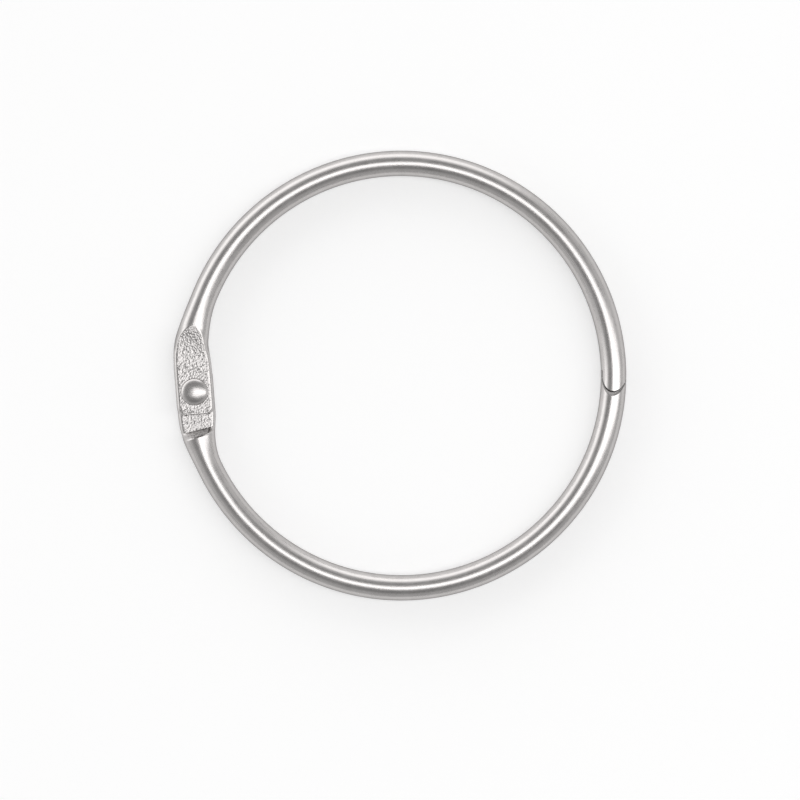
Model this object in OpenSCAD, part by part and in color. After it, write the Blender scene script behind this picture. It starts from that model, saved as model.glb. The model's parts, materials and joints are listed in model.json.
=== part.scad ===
// Hinged ring of round wire, lying on its back with the rivet head up.
// Two half rings turn on a rivet at one side and snap together at the other.
// The origin is the centre of the ring on the surface it lies on. +X points from the hinge to the closure.

/* [Ring] */
// Clear diameter inside the closed ring
ring_inner_d = 50; // [40:0.5:80]
// Diameter of the round wire
wire_d = 3.2; // [2.8:0.05:4]

/* [Hinge] */
// Place of the rivet round the ring, in degrees from +X
hinge_angle = 184.5; // [180:0.5:190]
// How far the rivet's axis lies inside the wire's centre line
hinge_inset = 0.65; // [0.45:0.05:0.9]
// Bend radius of the upper arm's centre line where its flattened end meets the ring
upper_bend_r = 7; // [5:0.5:12]
// Bend radius of the lower arm's centre line there
lower_bend_r = 16; // [9:0.5:18]
// Width of a flattened end across its bulged sides
paddle_w = 4.75; // [4.4:0.05:5.4]
// Width of its flat face
flat_w = 3.9; // [3.6:0.05:4.2]
// Thickness of a flattened end
paddle_t = 1.2; // [1:0.05:1.3]
// Rivet axis to the tip of a flattened end
tip_len = 2.85; // [2.4:0.05:3.2]
// Corner radius of that tip
tip_corner_r = 0.95; // [0.4:0.05:1.2]
// Rivet axis to the foot of the step that makes room for the other arm's tip
step_len = 4.8; // [4.4:0.05:5.4]
// Length of the step's sloping wall
step_run = 0.95; // [0.6:0.05:1.3]
// How far the step leans along the arm, as a share of its width
step_slant = 0.1; // [0:0.02:0.16]
// Length past the step over which the pressed face runs out on the round wire
face_run = 2.7; // [2:0.1:4]
// Length before the step over which the pressed face starts to rise towards that end
face_lead = 1; // [0:0.1:2]
// Length past the step over which the upper arm's width runs out
upper_spread_run = 6.6; // [5:0.1:8]
// Length past the step over which the lower arm's width runs out
lower_spread_run = 4; // [3.5:0.1:6]

/* [Rivet] */
// Diameter of the rivet's shank
shank_d = 1.8; // [1.5:0.05:2.2]
// Diameter of the domed head
head_d = 3.4; // [3:0.05:3.7]
// Height of the domed head
head_h = 0.7; // [0.5:0.05:1]
// Height of the straight rim under the dome
head_rim_h = 0.08; // [0.04:0.02:0.2]
// Diameter of the tail spread on the back
tail_d = 2.9; // [2.5:0.05:3.3]
// Height of that tail
tail_h = 0.34; // [0.2:0.02:0.36]

/* [Closure] */
// Middle of the snap lap round the ring, in degrees from +X
closure_angle = -1.2; // [-4:0.1:2]
// Turn of the lap against the wire, in degrees
lap_skew = -8; // [-12:1:-4]
// Length of the lap, tip to tip
lap_len = 3.1; // [3:0.1:4]
// Length over which a lapping tip rounds off, seen from the front
nose_len = 2.5; // [2:0.1:2.6]
// Width of a lapping tip at its root
nose_w = 3.06; // [2.9:0.02:3.2]
// Radius of the snap ridge on each lapping face
ridge_r = 0.3; // [0.2:0.02:0.4]
// Height of the snap ridge
ridge_h = 0.16; // [0.1:0.02:0.2]
// Length of the snap ridge across the wire
ridge_w = 1.8; // [1.2:0.1:2]
// Distance of the snap ridge from its tip
ridge_back = 1; // [0.8:0.05:1.3]

/* [Fits] */
// Gap between the lapping faces of the two arms
lap_gap = 0.05; // [0.03:0.01:0.1]
// Radial clearance between the rivet's shank and the upper arm
pivot_gap = 0.03; // [0.02:0.01:0.08]
// Gap under the rivet's head
head_gap = 0.03; // [0.02:0.01:0.08]
// Gap beside a closed lapping tip
nose_side_gap = 0.08; // [0.06:0.01:0.12]
// Gap past a closed lapping tip
nose_end_gap = 0.45; // [0.3:0.05:0.6]
// Clearance round a snap ridge in its groove
ridge_gap = 0.05; // [0.03:0.01:0.08]

/* [Hidden] */
$fn = 96;

wire_r = wire_d / 2;
ring_r = ring_inner_d / 2 + wire_r;
// The mid-plane of the wire, where the two arms lap
mid_z = wire_r;
hinge_r = ring_r - hinge_inset;
lap_z = lap_gap / 2;
face_z = lap_z + paddle_t;

step_end = step_len + step_run;

// A flat face as wide as flat_w on a side that bulges to paddle_w
press_share = sqrt(1 - pow(flat_w / paddle_w, 2));
paddle_bulge_h = paddle_t / 2 / press_share;
pressed_h = face_z / press_share;

// Half height of the egg that rounds a lapping tip: the taller, the squarer the tip's upper edge
nose_h = 1.4 * wire_d;

// Loft sections: segments on each flank, points between the corners of each face, and the steepest flank
flank_steps = 14;
face_points = 3;
flank_limit = 75;
// The pressed wire is this share thicker than the round wire, and sinks into it over twice this length
swell = 0.016;
sink_len = 0.3;

steel = [0.76, 0.75, 0.74];
bright_steel = [0.82, 0.81, 0.8];

function mix(a, b, share) = a + (b - a) * share;
function clamp01(x) = min(max(x, 0), 1);
function ease(x) = let (c = clamp01(x)) c * c * (3 - 2 * c);

// Where the straight flattened end turns into the bend, how far it turns, and where it meets the ring
function bend_start(bend_r) = sqrt(hinge_inset * (ring_r + hinge_r - 2 * bend_r));
function bend_turn(bend_r) = atan2(bend_start(bend_r), hinge_r - bend_r);
function bend_end(bend_r) = bend_start(bend_r) + bend_r * bend_turn(bend_r) * PI / 180;

// Where the widened end has become round wire
function blend_end(bend_r, spread_run) = max(step_end + spread_run, bend_end(bend_r) + sink_len);

// Turn of the centre line at a distance s along it from the rivet axis
function turn_at(s, bend_r) =
    s < bend_start(bend_r) ? 0
    : s < bend_end(bend_r) ? (s - bend_start(bend_r)) / bend_r * 180 / PI
    : bend_turn(bend_r) + (s - bend_end(bend_r)) / ring_r * 180 / PI;

// Point of the centre line, with the ring's centre at the origin and the rivet axis on +X
function centre_at(s, bend_r) =
    let (turn = turn_at(s, bend_r))
    s < bend_start(bend_r) ? [hinge_r, s]
    : s < bend_end(bend_r) ? [hinge_r - bend_r, bend_start(bend_r)] + bend_r * [cos(turn), sin(turn)]
    : ring_r * [cos(turn), sin(turn)];

// What the round corners take off each side near the tip
function corner_cut(s) =
    let (left = tip_corner_r - min(s + tip_len, tip_corner_r))
    tip_corner_r - sqrt(pow(tip_corner_r, 2) - pow(left, 2));

// Radius of the round wire as the loft draws it. It crosses the true radius at a slope, so that the two join.
function round_r_at(s, blend) = wire_r * (1 + swell * min(max((blend - s) / sink_len, -1), 1));

function half_width_at(s, blend) =
    mix(paddle_w / 2, round_r_at(s, blend), ease((s - step_len / 2) / (blend - step_len / 2)))
    - corner_cut(s);

// Half of a closed section: the flank of an ellipse between two angles, then the points across a flat face
function flank(width, height, low, high) =
    [for (i = [0:flank_steps])
        let (a = mix(low, high, i / flank_steps))
        [width * cos(a), height[a < 0 ? 0 : 1] * sin(a)]];

function face(width, height, limit, from, to) =
    [for (i = [1:face_points])
        let (u = mix(from, to, i / (face_points + 1)))
        [u, sign(limit) * min(abs(limit), height * sqrt(1 - pow(u / width, 2)))]];

// Section of a pressed wire at s: an ellipse pressed flat at the face above and at the lap below.
// Up to the step the half below the lap is away, and past face_run the section is round again.
function section_at(s, blend) =
    let (
        width = half_width_at(s, blend),
        round_r = round_r_at(s, blend),
        step = clamp01((s - step_len) / step_run),
        run_out = ease((s - step_end) / face_run),
        rise = clamp01((s - step_len + face_lead) / (face_lead + step_run + face_run)),
        middle = mix(lap_z + paddle_t / 2, 0, ease(step)),
        upper_h = mix(mix(paddle_bulge_h, pressed_h, ease(step)), round_r, run_out),
        lower_h = mix(paddle_bulge_h, round_r, ease(step)),
        top = mix(face_z, round_r, rise) - middle,
        bottom = mix(lap_z, -round_r, step) - middle,
        high = min(asin(min(top / upper_h, 1)), flank_limit),
        low = max(-asin(min(-bottom / lower_h, 1)), -flank_limit),
        right = flank(width, [lower_h, upper_h], low, high),
        upper_u = width * cos(high),
        lower_u = width * cos(low),
        left = [for (i = [flank_steps:-1:0]) [-right[i][0], right[i][1]]],
        above = face(width, upper_h, top, upper_u, -upper_u),
        below = face(width, lower_h, bottom, -lower_u, lower_u)
    )
    [for (p = concat(right, above, left, below)) [p[0], p[1] + middle]];

// Stations along a hinge end: its round corners, its straight part, its step and its run-out
function stations(blend) =
    let (straight = tip_corner_r - tip_len)
    concat(
        [for (a = [0:18:72]) -tip_len + tip_corner_r * (1 - cos(a))],
        [for (i = [0:4]) mix(straight, step_len, i / 5)],
        [for (i = [0:4]) mix(step_len, step_end, i / 5)],
        [for (i = [0:16]) mix(step_end, blend - sink_len, i / 16)],
        [blend + sink_len]
    );

// Lean of a section at s along the arm: none at the rivet and in the round wire, all of it at the step
function slant_at(s) =
    step_slant * (ease((s - step_len / 2) / (step_len / 2)) - ease((s - step_end) / face_run));

// Angle from the rivet at which the round wire starts, inside the hinge end
function round_from(bend_r, spread_run) = turn_at(blend_end(bend_r, spread_run) - sink_len, bend_r);

// Closed solid through a list of sections with the same number of points
module loft(sections) {
    count = len(sections[0]);
    last = len(sections) - 1;
    sides = [for (k = [0:last - 1], i = [0:count - 1])
        let (j = (i + 1) % count, a = k * count, b = a + count)
        each [[a + i, b + i, a + j], [a + j, b + i, b + j]]];
    // The end faces start half way up a flank, so that no three of their corners in a row lie in one line
    start = flank_steps / 2;
    near = [for (i = [0:count - 1]) (i + start) % count];
    far = [for (i = [count - 1:-1:0]) last * count + (i + start) % count];
    polyhedron(points = [for (s = sections) each s], faces = concat(sides, [near, far]), convexity = 6);
}

// Flattened end of an arm, which lies along -Y from the rivet axis on +X, with its pressed face up
module hinge_end(bend_r, spread_run, bore_r) {
    blend = blend_end(bend_r, spread_run);
    difference() {
        loft([for (s = stations(blend))
            let (
                c = centre_at(s, bend_r),
                turn = turn_at(s, bend_r),
                across = [cos(turn), sin(turn)] + slant_at(s) * [-sin(turn), cos(turn)]
            )
            [for (p = section_at(s, blend)) [c[0] + p[0] * across[0], -c[1] - p[0] * across[1], p[1]]]]);
        translate([hinge_r, 0, lap_z - paddle_t])
            cylinder(r = bore_r, h = 3 * paddle_t);
    }
}

// Round wire between two angles of the ring. Its seam is turned off the mid-plane, clear of the loft's edges.
module wire_arc(from, to) {
    rotate([0, 0, from])
        rotate_extrude(angle = to - from)
            translate([ring_r, 0])
                rotate(7)
                    circle(r = wire_r);
}

// Frame of the closure: +X outwards and +Y towards the upper arm, but for the skew, with the mid-plane at 0
module at_closure(flipped = false) {
    rotate([0, 0, closure_angle])
        translate([ring_r, 0, 0])
            rotate([flipped ? 180 : 0, 0, lap_skew])
                children();
}

// All that a lapping tip leaves away: what lies beside and past its rounded nose, and the slot under its lap
// face, which takes the other tip between two thin cheeks
module lap_cut() {
    reach = 2 * wire_d;
    nose_y = nose_len - lap_len / 2;
    difference() {
        translate([-reach / 2, nose_y - reach, -lap_z])
            cube(reach);
        translate([0, nose_y, 0])
            scale([nose_w / 2, nose_len, nose_h])
                sphere(r = 1);
    }
    translate([0, 0, lap_z - reach])
        linear_extrude(height = reach) {
            translate([-reach / 2, nose_side_gap - nose_y - reach])
                square(reach);
            translate([0, -nose_y])
                scale([nose_w / 2 + nose_side_gap, nose_len + nose_end_gap])
                    circle(r = 1);
        }
}

// Half-round bar across the wire at a distance y along the lap, for a snap ridge or its groove
module ridge_bar(y, grow) {
    translate([0, y, lap_z + ridge_r - ridge_h])
        rotate([0, 90, 0])
            cylinder(r = ridge_r + grow, h = ridge_w + 2 * grow, center = true);
}

// Wire with a lapping tip at the closure, its lap face down. The flipped one has its lap face up.
module closure_end(from, to, flipped) {
    ridge_y = ridge_back - lap_len / 2;
    difference() {
        union() {
            difference() {
                wire_arc(from, to);
                at_closure(flipped)
                    lap_cut();
            }
            at_closure(flipped)
                ridge_bar(ridge_y, 0);
        }
        at_closure(!flipped)
            ridge_bar(ridge_y, ridge_gap);
    }
}

// Arm over the hinge and over the closure
module upper_arm() {
    lap_turn = lap_len / ring_r * 180 / PI;
    round_end = hinge_angle - round_from(upper_bend_r, upper_spread_run);
    color(steel)
        translate([0, 0, mid_z]) {
            closure_end(closure_angle - lap_turn, round_end, false);
            rotate([0, 0, hinge_angle])
                hinge_end(upper_bend_r, upper_spread_run, shank_d / 2 + pivot_gap);
        }
}

// Arm under the hinge and under the closure
module lower_arm() {
    lap_turn = lap_len / ring_r * 180 / PI;
    round_end = hinge_angle + round_from(lower_bend_r, lower_spread_run);
    color(steel)
        translate([0, 0, mid_z]) {
            closure_end(round_end, 360 + closure_angle + lap_turn, true);
            rotate([180, 0, hinge_angle])
                hinge_end(lower_bend_r, lower_spread_run, shank_d / 2);
        }
}

// Flattened dome of that height and foot radius, as a half profile that stands on the X axis
module dome_profile(foot_r, height) {
    intersection() {
        scale([foot_r, height])
            circle(r = 1);
        square([foot_r, height]);
    }
}

// Rivet through both flattened ends: domed head in front, spread tail behind
module hinge_rivet() {
    head_z = face_z + head_gap;
    color(bright_steel)
        rotate([0, 0, hinge_angle])
            translate([hinge_r, 0, mid_z])
                rotate_extrude() {
                    translate([0, -face_z])
                        square([shank_d / 2, face_z + head_z]);
                    translate([0, head_z]) {
                        square([head_d / 2, head_rim_h]);
                        translate([0, head_rim_h])
                            dome_profile(head_d / 2, head_h - head_rim_h);
                    }
                    mirror([0, 1])
                        translate([0, face_z])
                            dome_profile(tail_d / 2, tail_h);
                }
}

upper_arm();
lower_arm();
hinge_rivet();
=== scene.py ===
"""Looks of the hinged key ring: plated wire arms with coined hinge ends, a domed rivet, light and camera."""

import json
import math

import bmesh
import bpy
import numpy as np
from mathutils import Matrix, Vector, kdtree, noise


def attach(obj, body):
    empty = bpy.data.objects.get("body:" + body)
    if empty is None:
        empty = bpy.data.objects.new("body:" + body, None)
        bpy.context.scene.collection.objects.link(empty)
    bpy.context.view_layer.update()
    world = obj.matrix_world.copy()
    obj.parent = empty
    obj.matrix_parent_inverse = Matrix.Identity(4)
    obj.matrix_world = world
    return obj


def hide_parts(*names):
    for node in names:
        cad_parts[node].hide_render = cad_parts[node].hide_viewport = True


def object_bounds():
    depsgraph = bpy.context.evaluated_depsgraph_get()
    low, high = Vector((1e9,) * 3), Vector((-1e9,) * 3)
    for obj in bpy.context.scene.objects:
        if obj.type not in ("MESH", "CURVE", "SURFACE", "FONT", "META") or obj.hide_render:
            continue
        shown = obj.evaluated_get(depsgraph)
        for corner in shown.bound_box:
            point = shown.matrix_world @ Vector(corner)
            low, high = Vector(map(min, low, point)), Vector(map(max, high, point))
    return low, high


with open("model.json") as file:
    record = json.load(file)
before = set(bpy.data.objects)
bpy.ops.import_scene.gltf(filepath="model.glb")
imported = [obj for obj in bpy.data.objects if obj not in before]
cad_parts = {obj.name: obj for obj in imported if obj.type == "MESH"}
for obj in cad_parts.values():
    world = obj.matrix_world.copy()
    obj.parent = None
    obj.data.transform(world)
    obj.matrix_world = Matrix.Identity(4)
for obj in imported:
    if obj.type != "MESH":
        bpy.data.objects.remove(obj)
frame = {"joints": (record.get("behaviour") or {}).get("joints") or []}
cad_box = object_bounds()

# Ring and hinge in millimetres, with the values of the part's source
MM = 0.001
WIRE_R = 1.6
RING_R = 26.6
MID_Z = 1.6
HINGE_ANGLE = 184.5
HINGE_INSET = 0.65
HINGE_R = RING_R - HINGE_INSET
UPPER_BEND_R = 7
LOWER_BEND_R = 16
PADDLE_W = 4.75
FLAT_W = 3.9
PADDLE_T = 1.2
TIP_LEN = 2.85
TIP_CORNER_R = 0.95
STEP_LEN = 4.8
STEP_RUN = 0.95
STEP_END = STEP_LEN + STEP_RUN
STEP_SLANT = 0.1
FACE_RUN = 2.7
FACE_LEAD = 1
FACE_RISE_LEN = FACE_LEAD + STEP_RUN + FACE_RUN
UPPER_SPREAD_RUN = 6.6
LOWER_SPREAD_RUN = 4
SINK_LEN = 0.3
LAP_GAP = 0.05
LAP_Z = LAP_GAP / 2
FACE_Z = LAP_Z + PADDLE_T
PRESS_SHARE = math.sqrt(1 - (FLAT_W / PADDLE_W) ** 2)
BULGE_H = PADDLE_T / 2 / PRESS_SHARE
PRESSED_H = FACE_Z / PRESS_SHARE

# Rivet, likewise
SHANK_R = 0.9
PIVOT_GAP = 0.03
HEAD_R = 1.7
HEAD_H = 0.7
HEAD_RIM_H = 0.08
HEAD_GAP = 0.03
TAIL_R = 1.45
TAIL_H = 0.34

# Closure, likewise
CLOSURE_ANGLE = -1.2
LAP_SKEW = -8
LAP_LEN = 3.1
NOSE_LEN = 2.5
NOSE_W = 3.06
NOSE_H = 1.4 * 2 * WIRE_R
NOSE_Y = NOSE_LEN - LAP_LEN / 2
NOSE_SIDE_GAP = 0.08
NOSE_END_GAP = 0.45
RIDGE_R = 0.3
RIDGE_H = 0.16
RIDGE_W = 1.8
RIDGE_BACK = 1
RIDGE_Y = RIDGE_BACK - LAP_LEN / 2
RIDGE_GAP = 0.05
REACH = 4 * WIRE_R

# Looks only: worn edges, a thin skin off the arms and round the fixed shank, a narrower gap beside the tips
EDGE = 0.1
TIP_EDGE = 0.1
HEAD_EDGE = 0.05
SKIN = 0.007
BORE_SKIN = 0.002
NOSE_FILL = 0.02

# Looks only: grain of the coined faces and of the torn step wall, hollow run-out, painted shade in the
# grain's dips, the wall's pits and at the tips' ends, waves on the rivet's domes
FACE_POWER = 1.7
GRAIN = 0.048
GRAIN_SIZE = 0.18
COARSE_SHARE = 0.75
FINE_SHARE = 0.4
FINE_RATE = 2.1
GRAIN_DEPTH = 0.06
GRAIN_FADE = 0.5 * FACE_RUN
LAP_GRAIN_STOP = 0.8
LAP_GRAIN_FADE = 0.2
WALL_GRAIN = 0.08
WALL_FOOT = 0.15
WALL_RIM = 0.3
HOLLOW_SHADE_GAIN = 2.5
DOME_WAVE = 0.004
DOME_WAVE_RATE = 1.3
UPPER_SEED = 3.0
LOWER_SEED = 11.0
WALL_SEED = 5
DOME_SEED = 7

# Fineness of an arm: points round a section (half of the lower face, one flank, the upper face), and sections
N_LOW = 24
N_FLANK = 18
N_TOP = 62
N_TIP = 7
N_CORNER = 22
N_WIRE = 108
N_LAP = 64
CORNER_TURNS = (0.02, 1.5)
FACE_STEP = 0.062
FADE_STEP = 0.07
SPREAD_STEP = 0.2
TINY = 1e-6

# Fineness of the cutting tools and of the rivet
N_BORE = 96
N_NOSE = 90
N_SLOT = 120
N_BAR = 48
N_HEAD = 60
N_RIM = 6
N_UNDER = 8
N_SHANK = 14
N_FOOT = 6
N_TAIL = 30
N_ROUND = 160

# Limits: ends of the bore's tool, what counts as inside the closure (whose faces get painted shade) or on the
# tail's dome, and sharp edges
BORE_ENDS = (-1, 3)
GAP_SHADE_DEPTH = 0.02
GAP_SHADE_RISE = 0.01
TAIL_CLEAR = 0.02
FLANK_LIMIT = math.radians(40)
SHARP = math.radians(38)
LAP_SHARP = math.radians(10)

# Distances in metres at which points are merged and thin faces removed
MERGE_DIST = 2e-7
THIN_DIST = 1e-7

# Plate: colour and roughness, and the middle range of a noise
PLATE = (0.577, 0.557, 0.549)
PLATE_ROUGH = 0.28
MID_NOISE = (0.3, 0.7)
WHOLE = (0, 1)


def mix(a, b, share):
    return a + (b - a) * share


def ease(x):
    c = np.clip(x, 0.0, 1.0)
    return c * c * (3 - 2 * c)


def soft_min(a, b, k):
    """The smaller of a and b, with the corner between them rounded over about k."""
    h = np.clip(0.5 + 0.5 * (b - a) / k, 0.0, 1.0)
    return b + (a - b) * h - k * h * (1 - h)


class Line:
    """Centre line of an arm from the rivet axis on +X, in the ring's own plane."""

    def __init__(self, bend_r, spread_run):
        self.bend_r = bend_r
        self.start = math.sqrt(HINGE_INSET * (RING_R + HINGE_R - 2 * bend_r))
        self.turn = math.atan2(self.start, HINGE_R - bend_r)
        self.end = self.start + bend_r * self.turn
        self.blend = max(STEP_END + spread_run, self.end + SINK_LEN)

    def turn_at(self, s):
        if s < self.start:
            return 0.0
        if s < self.end:
            return (s - self.start) / self.bend_r
        return self.turn + (s - self.end) / RING_R

    def centre_at(self, s):
        turn = self.turn_at(s)
        way = np.array([math.cos(turn), math.sin(turn)])
        if s < self.start:
            return np.array([HINGE_R, s])
        if s < self.end:
            return np.array([HINGE_R - self.bend_r, self.start]) + self.bend_r * way
        return RING_R * way

    def half_width(self, s):
        left = TIP_CORNER_R - min(s + TIP_LEN, TIP_CORNER_R)
        cut_off = TIP_CORNER_R - math.sqrt(TIP_CORNER_R ** 2 - left ** 2)
        share = ease((s - STEP_LEN / 2) / (self.blend - STEP_LEN / 2))
        return mix(PADDLE_W / 2, WIRE_R, share) - cut_off


def section(line, s, inset=SKIN):
    """Points (across, up) round the arm at s, from the lower middle and back to it, and how coined each is.

    Coined points count above zero on the upper face and below zero on the lower one.
    """
    width = line.half_width(s) - inset
    step = float(np.clip((s - STEP_LEN) / STEP_RUN, 0, 1))
    eased_step = float(ease(step))
    run_out = float(ease((s - STEP_END) / FACE_RUN))
    rise = float(np.clip((s - STEP_LEN + FACE_LEAD) / FACE_RISE_LEN, 0, 1)) ** FACE_POWER
    middle = mix(LAP_Z + PADDLE_T / 2, 0, eased_step)
    upper_h = mix(mix(BULGE_H, PRESSED_H, eased_step), WIRE_R, run_out) - inset
    lower_h = mix(BULGE_H, WIRE_R, eased_step) - inset
    top = mix(FACE_Z - GRAIN / 2, WIRE_R, rise) - middle - inset
    bottom = -(mix(LAP_Z + GRAIN / 2, -WIRE_R, step) - middle) - inset

    high = min(math.asin(min(top / upper_h, 1)), FLANK_LIMIT)
    low = -min(math.asin(min(bottom / lower_h, 1)), FLANK_LIMIT)
    flank = np.linspace(low, high, N_FLANK + 1)
    flank_u = width * np.cos(flank)
    lower_u = np.linspace(0, width * math.cos(low), N_LOW + 1)[:-1]
    upper_u = np.linspace(width * math.cos(high), -width * math.cos(high), N_TOP + 1)[1:-1]
    across = np.concatenate([lower_u, flank_u, upper_u, -flank_u[::-1], -lower_u[::-1]])
    below_low, on_top = np.zeros(N_LOW, bool), np.ones(N_TOP - 1, bool)
    above = np.concatenate([below_low, flank > 0, on_top, flank[::-1] > 0, below_low])

    bulge = np.sqrt(np.clip(1 - (across / width) ** 2, 0, None))
    round_up = upper_h * bulge
    round_down = lower_h * bulge
    soft = EDGE * (1 - float(ease((s - STEP_END) / (2 * FACE_RUN))))
    up = soft_min(round_up, top, soft + TINY)
    down = soft_min(round_down, bottom, EDGE * (1 - step) + TINY)
    height = np.where(above, up, -down) + middle

    fade_up = ease((s - STEP_END - GRAIN_FADE) / GRAIN_FADE)
    fade_down = ease((step - LAP_GRAIN_STOP) / LAP_GRAIN_FADE)
    coined_up = np.clip((round_up - top) / GRAIN_DEPTH, 0, 1) * (1 - fade_up)
    coined_down = np.clip((round_down - bottom) / GRAIN_DEPTH, 0, 1) * (1 - fade_down)
    clear_tip = np.clip((s + TIP_LEN - TIP_EDGE) / TIP_EDGE, 0, 1)
    coined = np.where(above, coined_up, -coined_down) * clear_tip
    return np.stack([across, height], 1), coined


def slant_at(s):
    """Lean of a section along the arm: none at the rivet and in the round wire, all of it at the step."""
    return STEP_SLANT * float(ease((s - STEP_LEN / 2) / (STEP_LEN / 2)) - ease((s - STEP_END) / FACE_RUN))


def tip_rings(line):
    """Sections of the worn edge round the tip's end face."""
    rings = []
    for a in np.linspace(0, math.pi / 2, N_TIP)[:-1]:
        s = -TIP_LEN + TIP_EDGE * (1 - math.cos(a))
        rings.append((s, section(line, s, SKIN + TIP_EDGE * (1 - math.sin(a)))))
    return rings


def stations(line, closure_turn):
    """Distances from the rivet axis, close together at the hinge end and at the closure."""
    straight = TIP_CORNER_R - TIP_LEN
    bow = TIP_CORNER_R - TIP_EDGE
    corner = [-TIP_LEN + TIP_EDGE + bow * (1 - math.cos(a)) for a in np.linspace(*CORNER_TURNS, N_CORNER)]
    face = list(np.arange(straight, STEP_END, FACE_STEP))
    fade = list(np.arange(STEP_END, STEP_END + FACE_RUN, FADE_STEP))
    spread = list(np.arange(STEP_END + FACE_RUN, line.blend, SPREAD_STEP))
    lap = line.end + (closure_turn - line.turn) * RING_R
    wire = list(np.linspace(line.blend, lap - LAP_LEN, N_WIRE))
    closure = list(np.linspace(lap - LAP_LEN, lap + LAP_LEN, N_LAP)[1:])
    return corner + face + fade + spread + wire + closure


def grain(x, y, seed):
    """Height of the coined grain at a place, about -1 to 1: coarse bumps with finer ones on them."""
    p = Vector((x / GRAIN_SIZE, y / GRAIN_SIZE, seed))
    return COARSE_SHARE * noise.noise(p) + FINE_SHARE * noise.noise(p * FINE_RATE)


def arm_mesh(line, closure_turn, seed):
    """Closed mesh of an arm in its own frame: ring centre at the origin, rivet on +X, coined face up.

    Each point also has its looks: how coined, how torn by the step's shear, with a painted lift of light on
    that wall's colour, and how much painted shade it gets in the grain's dips, the wall's pits and at the
    tip's end.
    """
    rings = tip_rings(line) + [(s, section(line, s)) for s in stations(line, closure_turn)]
    points, faces, walls, hollow_shades = [], [], [], []
    for s, (flat, mask) in rings:
        turn = line.turn_at(s)
        outwards = np.array((math.cos(turn), math.sin(turn)))
        onwards = np.array((-math.sin(turn), math.cos(turn)))
        across = outwards + slant_at(s) * onwards
        ring = np.column_stack([flat[:, :1] * across + line.centre_at(s), flat[:, 1]])
        bumps = np.array([grain(x, y, seed + (m < 0)) if m else 0.0 for (x, y, _), m in zip(ring, mask)])
        ring[:, 2] += GRAIN * mask * bumps
        # Torn step wall: real pits and roughness, plus a painted lift of light on its colour.
        on_wall = ease((s - STEP_LEN) / WALL_FOOT) * (1 - ease((s - STEP_END + WALL_RIM) / WALL_RIM))
        wall = np.where(mask < 0, on_wall, 0)
        pits = wall * [grain(x, z, seed + WALL_SEED) if w else 0.0 for (x, _, z), w in zip(ring, wall)]
        ring[:, :2] += WALL_GRAIN * pits[:, None] * onwards
        # Painted shade: darker in the grain's dips, in the wall's pits and along the tip's end, where shadow
        # would fall.
        grain_shade = HOLLOW_SHADE_GAIN * (pits - np.abs(mask) * (1 - wall) * bumps)
        tip_end_shade = 1 - (s + TIP_LEN) / TIP_EDGE
        hollow_shades.append(np.clip(np.maximum(grain_shade, tip_end_shade), 0, 1))
        walls.append(wall)
        points.append(ring)

    count = len(points[0])
    for k in range(len(points) - 1):
        near, far = k * count, (k + 1) * count
        for i in range(count - 1):
            faces.append((near + i, near + i + 1, far + i + 1, far + i))
    total = len(points) * count
    for end, first in enumerate((0, total - count)):
        faces += [(first + i, first + i + 1, total + end) for i in range(count - 1)]

    hubs = np.array([points[0].mean(axis=0), points[-1].mean(axis=0)])
    plain = np.zeros(len(hubs))
    looks = {
        "pressed": np.abs(np.concatenate([mask for _, (_, mask) in rings] + [plain])),
        "torn_and_lit": np.concatenate(walls + [plain]),
        "hollow_shade": np.concatenate(hollow_shades + [plain]),
    }
    return np.concatenate(points + [hubs]), faces, looks


def to_object(name, points, faces):
    """New object from points in millimetres, with doubled points merged and faces turned outwards."""
    mesh = bpy.data.meshes.new(name)
    mesh.from_pydata((np.asarray(points) * MM).tolist(), [], faces)
    work = bmesh.new()
    work.from_mesh(mesh)
    bmesh.ops.remove_doubles(work, verts=work.verts, dist=MERGE_DIST)
    bmesh.ops.dissolve_degenerate(work, edges=work.edges, dist=THIN_DIST)
    bmesh.ops.recalc_face_normals(work, faces=work.faces)
    if work.calc_volume(signed=True) < 0:
        bmesh.ops.reverse_faces(work, faces=work.faces)
    work.to_mesh(mesh)
    work.free()
    obj = bpy.data.objects.new(name, mesh)
    bpy.context.scene.collection.objects.link(obj)
    return obj


def lathe(profile, segments):
    """Points and faces of a turned form. Its (radius, height) profile starts and ends on the axis."""
    turns = np.linspace(0, 2 * math.pi, segments, endpoint=False)
    points = [(r * math.cos(a), r * math.sin(a), z) for r, z in profile for a in turns]
    faces = []
    for i in range(len(profile) - 1):
        near, far = i * segments, (i + 1) * segments
        for j in range(segments):
            k = (j + 1) % segments
            faces.append((near + j, near + k, far + k, far + j))
    return np.array(points), faces


def rod(radius, low, high, segments):
    """Points and faces of a plain round rod on the vertical axis."""
    return lathe([(0, low), (radius, low), (radius, high), (0, high)], segments)


def cut(obj, tool, how):
    """Cuts obj with another object, or joins the two, and removes the tool."""
    change = obj.modifiers.new("cut", "BOOLEAN")
    change.operation = how
    change.solver = "EXACT"
    change.object = tool
    shown = obj.evaluated_get(bpy.context.evaluated_depsgraph_get())
    made = bpy.data.meshes.new_from_object(shown)
    obj.modifiers.remove(change)
    old, obj.data = obj.data, made
    bpy.data.meshes.remove(old)
    gone = tool.data
    bpy.data.objects.remove(tool)
    bpy.data.meshes.remove(gone)


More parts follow.
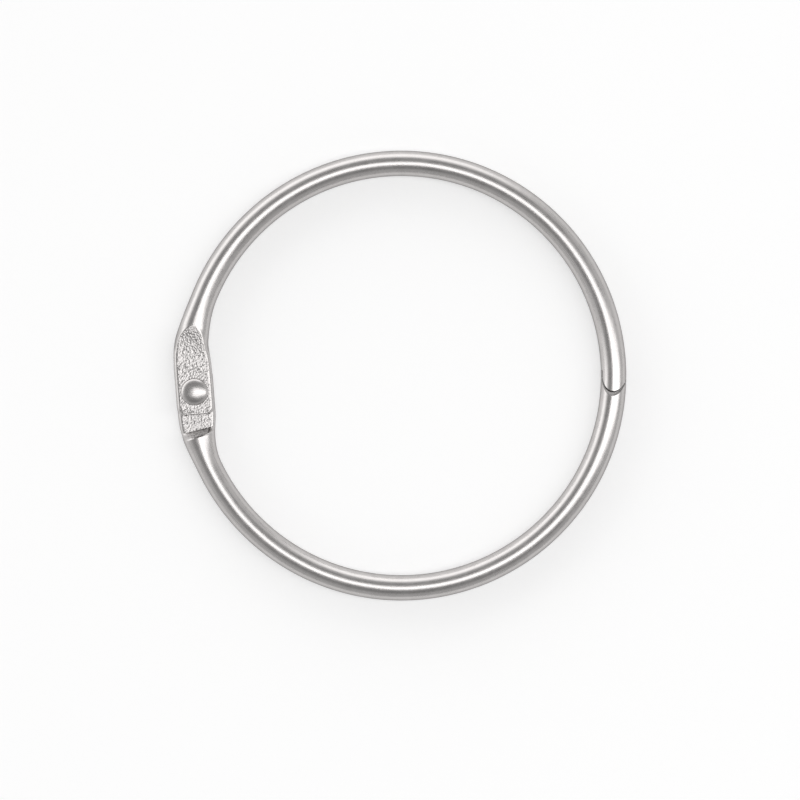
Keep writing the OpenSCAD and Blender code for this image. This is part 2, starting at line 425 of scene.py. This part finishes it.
class Closure:
    """Frame of the lap (outwards, towards the arm, up), turned by the skew, and the tools that cut there."""

    def __init__(self, turn, skew):
        self.turn = turn
        self.skew = skew

    def tool(self, points, faces):
        x, y, z = np.asarray(points, float).T
        out = x * math.cos(self.skew) - y * math.sin(self.skew) + RING_R
        back = x * math.sin(self.skew) + y * math.cos(self.skew)
        way = (math.cos(self.turn), math.sin(self.turn))
        placed = np.column_stack([out * way[0] + back * way[1], out * way[1] - back * way[0], z])
        return to_object("tool", placed, faces)

    def beside_nose(self):
        """All that lies beside and past the rounded tip, above the other arm's lap face."""
        half = REACH / 2
        low, high = NOSE_Y - REACH, NOSE_Y
        corners = [(x, y, z) for z in (-LAP_Z, REACH - LAP_Z) for y in (low, high) for x in (-half, half)]
        sides = [(0, 1, 3, 2), (4, 5, 7, 6), (0, 1, 5, 4), (2, 3, 7, 6), (0, 2, 6, 4), (1, 3, 7, 5)]
        block = self.tool(corners, sides)
        half_round = [(math.sin(a), -math.cos(a)) for a in np.linspace(0, math.pi, N_NOSE)]
        points, faces = lathe(half_round, 2 * N_NOSE)
        nose = points * (NOSE_W / 2 + NOSE_FILL, NOSE_LEN, NOSE_H) + (0, NOSE_Y, 0)
        cut(block, self.tool(nose, faces), "DIFFERENCE")
        return block

    def slot(self):
        """Slot under the lap face, which takes the other tip between two thin cheeks."""
        half = NOSE_W / 2 + NOSE_SIDE_GAP - NOSE_FILL
        length = NOSE_LEN + NOSE_END_GAP
        first = math.asin(NOSE_SIDE_GAP / length)
        turns = np.linspace(first, math.pi - first, N_SLOT)
        arc = [(half * math.cos(a), length * math.sin(a) - NOSE_Y) for a in turns]
        far, near = NOSE_SIDE_GAP - NOSE_Y - REACH, NOSE_SIDE_GAP - NOSE_Y
        outline = [(REACH / 2, far), (REACH / 2, near)] + arc + [(-REACH / 2, near), (-REACH / 2, far)]
        n = len(outline)
        points = [(x, y, z) for z in (LAP_Z - REACH, LAP_Z) for x, y in outline]
        walls = [(i, (i + 1) % n, n + (i + 1) % n, n + i) for i in range(n)]
        return self.tool(points, walls + [tuple(range(n)), tuple(range(n, 2 * n))])

    def bar(self, grow, flipped):
        """Half-round bar across the lap, for a snap ridge or the groove that takes the other arm's."""
        half = RIDGE_W / 2 + grow
        points, faces = rod(RIDGE_R + grow, -half, half, N_BAR)
        placed = points[:, [2, 0, 1]] + (0, RIDGE_Y, LAP_Z + RIDGE_R - RIDGE_H)
        return self.tool(placed * ((1, -1, -1) if flipped else (1, 1, 1)), faces)


def read_places(rows, key):
    """Places of a mesh's points or faces, in millimetres."""
    flat = np.empty(len(rows) * 3)
    rows.foreach_get(key, flat)
    return flat.reshape(-1, 3) / MM


def set_straight(mesh, places):
    """Place along the straightened wire, in millimetres, which the plate's texture follows."""
    mesh.attributes.new("straight", "FLOAT_VECTOR", "POINT").data.foreach_set("vector", places.ravel())


def set_look(mesh, name, values, domain="POINT"):
    """A number from 0 to 1 on each point or face, which the plate's material reads."""
    mesh.attributes.new(name, "FLOAT", domain).data.foreach_set("value", values)


def cut_inside(mesh):
    """Which faces lie inside the closure, on the lap's under side and in its slot, whose colour gets painted
    shade.
    """
    mids = read_places(mesh.polygons, "center")
    deep = np.hypot(np.hypot(mids[:, 0], mids[:, 1]) - RING_R, mids[:, 2]) < WIRE_R - GAP_SHADE_DEPTH
    return deep & (mids[:, 2] < LAP_Z + GAP_SHADE_RISE) & (mids[:, 0] < 0)


def make_arm(name, line, closure_turn, bore_r, upper, seed):
    """Arm with its bore, snap ridge and groove, placed in the row frame."""
    points, faces, looks = arm_mesh(line, closure_turn, seed)
    obj = to_object(name, points, faces)
    first_points = kdtree.KDTree(len(points))
    for i, point in enumerate(points):
        first_points.insert(point, i)
    first_points.balance()

    points, faces = rod(bore_r, *BORE_ENDS, N_BORE)
    cut(obj, to_object("bore", points + (HINGE_R, 0, 0), faces), "DIFFERENCE")
    closure = Closure(closure_turn, math.radians(LAP_SKEW if upper else -LAP_SKEW))
    cut(obj, closure.beside_nose(), "DIFFERENCE")
    cut(obj, closure.slot(), "DIFFERENCE")
    cut(obj, closure.bar(0, False), "UNION")
    cut(obj, closure.bar(RIDGE_GAP, True), "DIFFERENCE")

    mesh = obj.data
    own = read_places(mesh.vertices, "co")
    turn = np.arctan2(own[:, 1], own[:, 0])
    turn = np.where(turn < -math.pi / 2, turn + 2 * math.pi, turn)
    reach = np.hypot(own[:, 0], own[:, 1])
    set_straight(mesh, np.column_stack([turn * RING_R, reach - RING_R, own[:, 2]]))
    nearest = np.array([first_points.find(p)[1] for p in own])
    for look, values in looks.items():
        set_look(mesh, look, values[nearest])
    set_look(mesh, "gap_shade", cut_inside(mesh).astype(float), "FACE")

    # Placing mirrors an arm out of its own frame, so its faces are turned round after it
    sign = 1 if upper else -1
    place = math.radians(HINGE_ANGLE) - sign * turn
    world = np.column_stack([reach * np.cos(place), reach * np.sin(place), MID_Z + sign * own[:, 2]]) * MM
    mesh.vertices.foreach_set("co", world.ravel())
    mesh.flip_normals()
    finish_mesh(obj)
    crisp_lap(mesh)
    return obj


def finish_mesh(obj):
    obj.data.shade_smooth()
    obj.data.set_sharp_from_angle(angle=SHARP)
    obj.data.update()


def crisp_lap(mesh):
    """Marks the cut edges of the lap as sharp, also where they run out into the round wire."""
    work = bmesh.new()
    work.from_mesh(mesh)
    for edge in work.edges:
        if edge.verts[0].co.x > 0 and edge.calc_face_angle(0.0) > LAP_SHARP:
            edge.smooth = False
    work.to_mesh(mesh)
    work.free()


def dome(foot_r, height, n):
    """Profile of a half ellipse from its top to its foot."""
    return [(foot_r * math.sin(a), height * math.cos(a)) for a in np.linspace(0, math.pi / 2, n)]


def make_rivet(name):
    """Rivet with a hammered dome, a worn rim, its shank and the spread tail."""
    top = FACE_Z + HEAD_GAP
    head = [(r, top + HEAD_RIM_H + z) for r, z in dome(HEAD_R, HEAD_H - HEAD_RIM_H, N_HEAD)]
    rim = [(HEAD_R - HEAD_EDGE + HEAD_EDGE * math.cos(a), top + HEAD_EDGE - HEAD_EDGE * math.sin(a))
           for a in np.linspace(0, math.pi / 2, N_RIM)]
    under = [(r, top) for r in np.linspace(HEAD_R - HEAD_EDGE, SHANK_R, N_UNDER)[1:]]
    shank = [(SHANK_R, z) for z in np.linspace(top, -FACE_Z, N_SHANK)[1:]]
    foot = [(r, -FACE_Z) for r in np.linspace(SHANK_R, TAIL_R, N_FOOT)[1:]]
    tail = [(r, -FACE_Z - z) for r, z in dome(TAIL_R, TAIL_H, N_TAIL)][::-1][1:]
    points, faces = lathe(head + rim + under + shank + foot + tail, N_ROUND)

    on_head = points[:, 2] > top + HEAD_RIM_H
    on_tail = points[:, 2] < -FACE_Z - TAIL_CLEAR
    for i in np.flatnonzero(on_head | on_tail):
        x, y, z = points[i]
        at = Vector((x * DOME_WAVE_RATE, y * DOME_WAVE_RATE, z * DOME_WAVE_RATE + DOME_SEED))
        points[i] *= 1 - DOME_WAVE * (0.5 + noise.noise(at))

    obj = to_object(name, points, faces)
    mesh = obj.data
    own = read_places(mesh.vertices, "co")
    set_straight(mesh, own)
    for look in ("pressed", "torn_and_lit", "hollow_shade", "gap_shade"):
        set_look(mesh, look, np.zeros(len(own)))
    axis = Vector(frame["joints"][0]["pos_m"])
    mesh.vertices.foreach_set("co", (own * MM + np.array((axis.x, axis.y, MID_Z * MM))).ravel())
    finish_mesh(obj)
    return obj


def node(tree, kind, **values):
    """New shader node, with its sockets and settings given by name."""
    made = tree.nodes.new(kind)
    for key, value in values.items():
        if key in made.inputs:
            made.inputs[key].default_value = value
        else:
            setattr(made, key, value)
    return made


def math_node(tree, operation, a, b):
    made = node(tree, "ShaderNodeMath", operation=operation)
    tree.links.new(a, made.inputs[0])
    tree.links.new(b, made.inputs[1])
    return made.outputs["Value"]


def map_range(tree, source, span, to, **settings):
    """Maps the two ends of span to the two values of to."""
    made = node(tree, "ShaderNodeMapRange", **settings)
    for key, value in zip(("From Min", "From Max", "To Min", "To Max"), (*span, *to)):
        made.inputs[key].default_value = value
    tree.links.new(source, made.inputs["Value"])
    return made.outputs["Result"]


def plated(name, colour, rough):
    """Satin nickel plate: fine draw lines along the wire, cloudy gloss, matt grain on the coined faces, with
    painted shade in the closure's gap, the grain's dips and at the tips, a dark edge tint as painted shade,
    and a painted lift of light on the torn step wall.
    """
    mat = bpy.data.materials.new(name)
    mat.use_nodes = True
    tree = mat.node_tree
    tree.nodes.clear()
    out = node(tree, "ShaderNodeOutputMaterial")
    shader = node(tree, "ShaderNodeBsdfPrincipled")
    shader.inputs["Metallic"].default_value = 1.0
    # Edge tint well below white: painted shade, darker reflections towards the silhouettes.
    shader.inputs["Specular Tint"].default_value = (0.4, 0.4, 0.4, 1)
    tree.links.new(shader.outputs["BSDF"], out.inputs["Surface"])
    place = node(tree, "ShaderNodeAttribute", attribute_name="straight").outputs["Vector"]

    def look(key):
        return node(tree, "ShaderNodeAttribute", attribute_name=key).outputs["Fac"]

    def noise_at(scale, detail, stretch=(1, 1, 1)):
        mapping = node(tree, "ShaderNodeMapping")
        mapping.inputs["Scale"].default_value = stretch
        tree.links.new(place, mapping.inputs["Vector"])
        made = node(tree, "ShaderNodeTexNoise", Scale=scale, Detail=detail, Roughness=0.55)
        tree.links.new(mapping.outputs["Vector"], made.inputs["Vector"])
        return made.outputs["Fac"]

    def times(source, where, factor):
        """Colour multiplied by a factor as far as the mask says."""
        made = node(tree, "ShaderNodeMixRGB", blend_type="MULTIPLY")
        tree.links.new(where, made.inputs["Fac"])
        tree.links.new(source, made.inputs["Color1"])
        made.inputs["Color2"].default_value = (factor, factor, factor, 1)
        return made.outputs["Color"]

    lines = noise_at(scale=5.0, detail=3.0, stretch=(0.05, 1.6, 1.6))
    cloud = noise_at(scale=0.7, detail=4.0)
    fine = noise_at(scale=14.0, detail=2.0)
    pressed, gap_shade, torn_and_lit, hollow_shade = look("pressed"), look("gap_shade"), look("torn_and_lit"), look("hollow_shade")

    tint = node(tree, "ShaderNodeValToRGB")
    for stop, position, share in zip(tint.color_ramp.elements, MID_NOISE, (0.95, 1.04)):
        stop.position = position
        stop.color = tuple(c * share for c in colour) + (1,)
    tree.links.new(cloud, tint.inputs["Fac"])
    shade = tint.outputs["Color"]
    # Painted light: the torn step wall's colour is lifted by 1.35; its added roughness is real.
    # Painted shade: faces inside the closure's gap are darkened to 0.35 of the plate.
    # Painted shade: the grain's dips, the wall's pits and the tip's end are darkened to 0.6.
    for where, factor in ((pressed, 0.95), (gap_shade, 0.35), (torn_and_lit, 1.35), (hollow_shade, 0.6)):
        shade = times(shade, where, factor)
    tree.links.new(shade, shader.inputs["Base Color"])

    gloss = map_range(tree, lines, MID_NOISE, (rough - 0.03, rough + 0.04))
    changes = ((cloud, MID_NOISE, (-0.02, 0.02)), (pressed, WHOLE, (0, 0.02)), (torn_and_lit, WHOLE, (0, 0.3)))
    for source, span, to in changes:
        gloss = math_node(tree, "ADD", gloss, map_range(tree, source, span, to))
    tree.links.new(gloss, shader.inputs["Roughness"])

    bump = node(tree, "ShaderNodeBump", Strength=1.0, Distance=0.0015 * MM)
    height = math_node(tree, "ADD", lines, map_range(tree, fine, WHOLE, (0, 0.4)))
    tree.links.new(height, bump.inputs["Height"])
    tree.links.new(bump.outputs["Normal"], shader.inputs["Normal"])
    return mat


def dress(obj, mat, body, cad_node):
    obj.data.materials.clear()
    obj.data.materials.append(mat)
    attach(obj, body)
    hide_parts(cad_node)


def make_object():
    """The three pieces with their plate, each on its body."""
    arm_plate = plated("arm_plate", PLATE, PLATE_ROUGH)
    rivet_plate = plated("rivet_plate", PLATE, PLATE_ROUGH)
    upper_turn = math.radians(HINGE_ANGLE - CLOSURE_ANGLE)
    lower_turn = math.radians(360 + CLOSURE_ANGLE - HINGE_ANGLE)
    upper_line = Line(UPPER_BEND_R, UPPER_SPREAD_RUN)
    lower_line = Line(LOWER_BEND_R, LOWER_SPREAD_RUN)
    upper_arm = make_arm("arm_over", upper_line, upper_turn, SHANK_R + PIVOT_GAP, True, UPPER_SEED)
    lower_arm = make_arm("arm_under", lower_line, lower_turn, SHANK_R + BORE_SKIN, False, LOWER_SEED)
    rivet = make_rivet("rivet")
    dress(upper_arm, arm_plate, "upper_half", "upper_arm")
    dress(lower_arm, arm_plate, "lower_half", "lower_arm")
    dress(rivet, rivet_plate, "lower_half", "hinge_rivet")


def seen_rays(tree, strength):
    """That strength for rays from the camera, from mirrors and through glass, and none for the rest."""
    path = node(tree, "ShaderNodeLightPath")
    total = path.outputs["Is Camera Ray"]
    for key in ("Is Glossy Ray", "Is Transmission Ray"):
        total = math_node(tree, "MAXIMUM", total, path.outputs[key])
    return map_range(tree, total, WHOLE, (0, strength))


def make_floor():
    """White floor under the ring, with a glow of its own that the camera and the metal see."""
    half = 3.0
    grey = 0.7
    glow = 0.42
    low = cad_box[0][2]
    mesh = bpy.data.meshes.new("floor")
    corners = [(-half, -half, low), (half, -half, low), (half, half, low), (-half, half, low)]
    mesh.from_pydata(corners, [], [(0, 1, 2, 3)])
    floor = bpy.data.objects.new("floor", mesh)
    bpy.context.scene.collection.objects.link(floor)
    mat = bpy.data.materials.new("floor_white")
    mat.use_nodes = True
    tree = mat.node_tree
    shader = tree.nodes["Principled BSDF"]
    shader.inputs["Base Color"].default_value = (grey, grey, grey, 1)
    shader.inputs["Roughness"].default_value = 0.9
    shader.inputs["Specular IOR Level"].default_value = 0.1
    shader.inputs["Emission Color"].default_value = (1, 1, 1, 1)
    tree.links.new(seen_rays(tree, glow), shader.inputs["Emission Strength"])
    mesh.materials.append(mat)


def lamp(name, place, aim, size, radiance):
    """Soft box that sends out the same light from all of its face. Places and sizes are in metres."""
    data = bpy.data.lights.new(name, "AREA")
    data.shape = "RECTANGLE"
    data.size, data.size_y = size
    data.energy = radiance * size[0] * size[1] * math.pi
    obj = bpy.data.objects.new(name, data)
    obj.location = place
    obj.rotation_euler = Vector(aim).to_track_quat("-Z", "Y").to_euler()
    obj.visible_camera = False
    bpy.context.scene.collection.objects.link(obj)


def make_light():
    """Long soft box overhead, and a sky with a dim ceiling, a bright window side and a shaded side."""
    lamp("strip_box", place=(1.05, -0.06, 1.5), aim=(0, 0, -1), size=(2.6, 0.65), radiance=2.3)
    world = bpy.data.worlds.new("studio")
    world.use_nodes = True
    tree = world.node_tree
    back = tree.nodes["Background"]
    way = node(tree, "ShaderNodeTexCoord").outputs["Generated"]

    def wash(towards, span, to):
        """Soft change of the world's light across the sky, along one direction."""
        dot = node(tree, "ShaderNodeVectorMath", operation="DOT_PRODUCT")
        tree.links.new(way, dot.inputs[0])
        dot.inputs[1].default_value = Vector(towards).normalized()
        return map_range(tree, dot.outputs["Value"], span, to, interpolation_type="SMOOTHSTEP")

    ceiling = wash((0, 0, 1), span=(0.45, 0.8), to=(0.66, 0.31))
    window_side = wash((-0.55, 0.83, 0), span=(0.25, 0.6), to=(0.0, 1.15))
    window_height = wash((0, 0, 1), span=(0.4, 0.65), to=(1.0, 0.0))
    shade = wash((0.2, -1, 0), span=(0.2, 0.8), to=(0.0, -0.14))
    window = math_node(tree, "MULTIPLY", window_side, window_height)
    strength = math_node(tree, "ADD", math_node(tree, "ADD", ceiling, window), shade)
    tree.links.new(strength, back.inputs["Strength"])
    back.inputs["Color"].default_value = (1, 1, 1, 1)
    bpy.context.scene.world = world


def make_camera():
    """Straight down on the lying ring, as far off as a long lens needs for the photograph's frame."""
    frame_width = 100.26
    frame_x, frame_y = -0.163, -3.058
    data = bpy.data.cameras.new("camera")
    data.lens = 200
    data.sensor_width = 36
    data.clip_start = 0.005
    camera = bpy.data.objects.new("camera", data)
    distance = frame_width * data.lens / data.sensor_width
    camera.location = (frame_x * MM, frame_y * MM, (MID_Z + distance) * MM)
    bpy.context.scene.collection.objects.link(camera)
    bpy.context.scene.camera = camera


make_object()
make_floor()
make_light()
make_camera()
bpy.context.scene.view_settings.view_transform = "Standard"
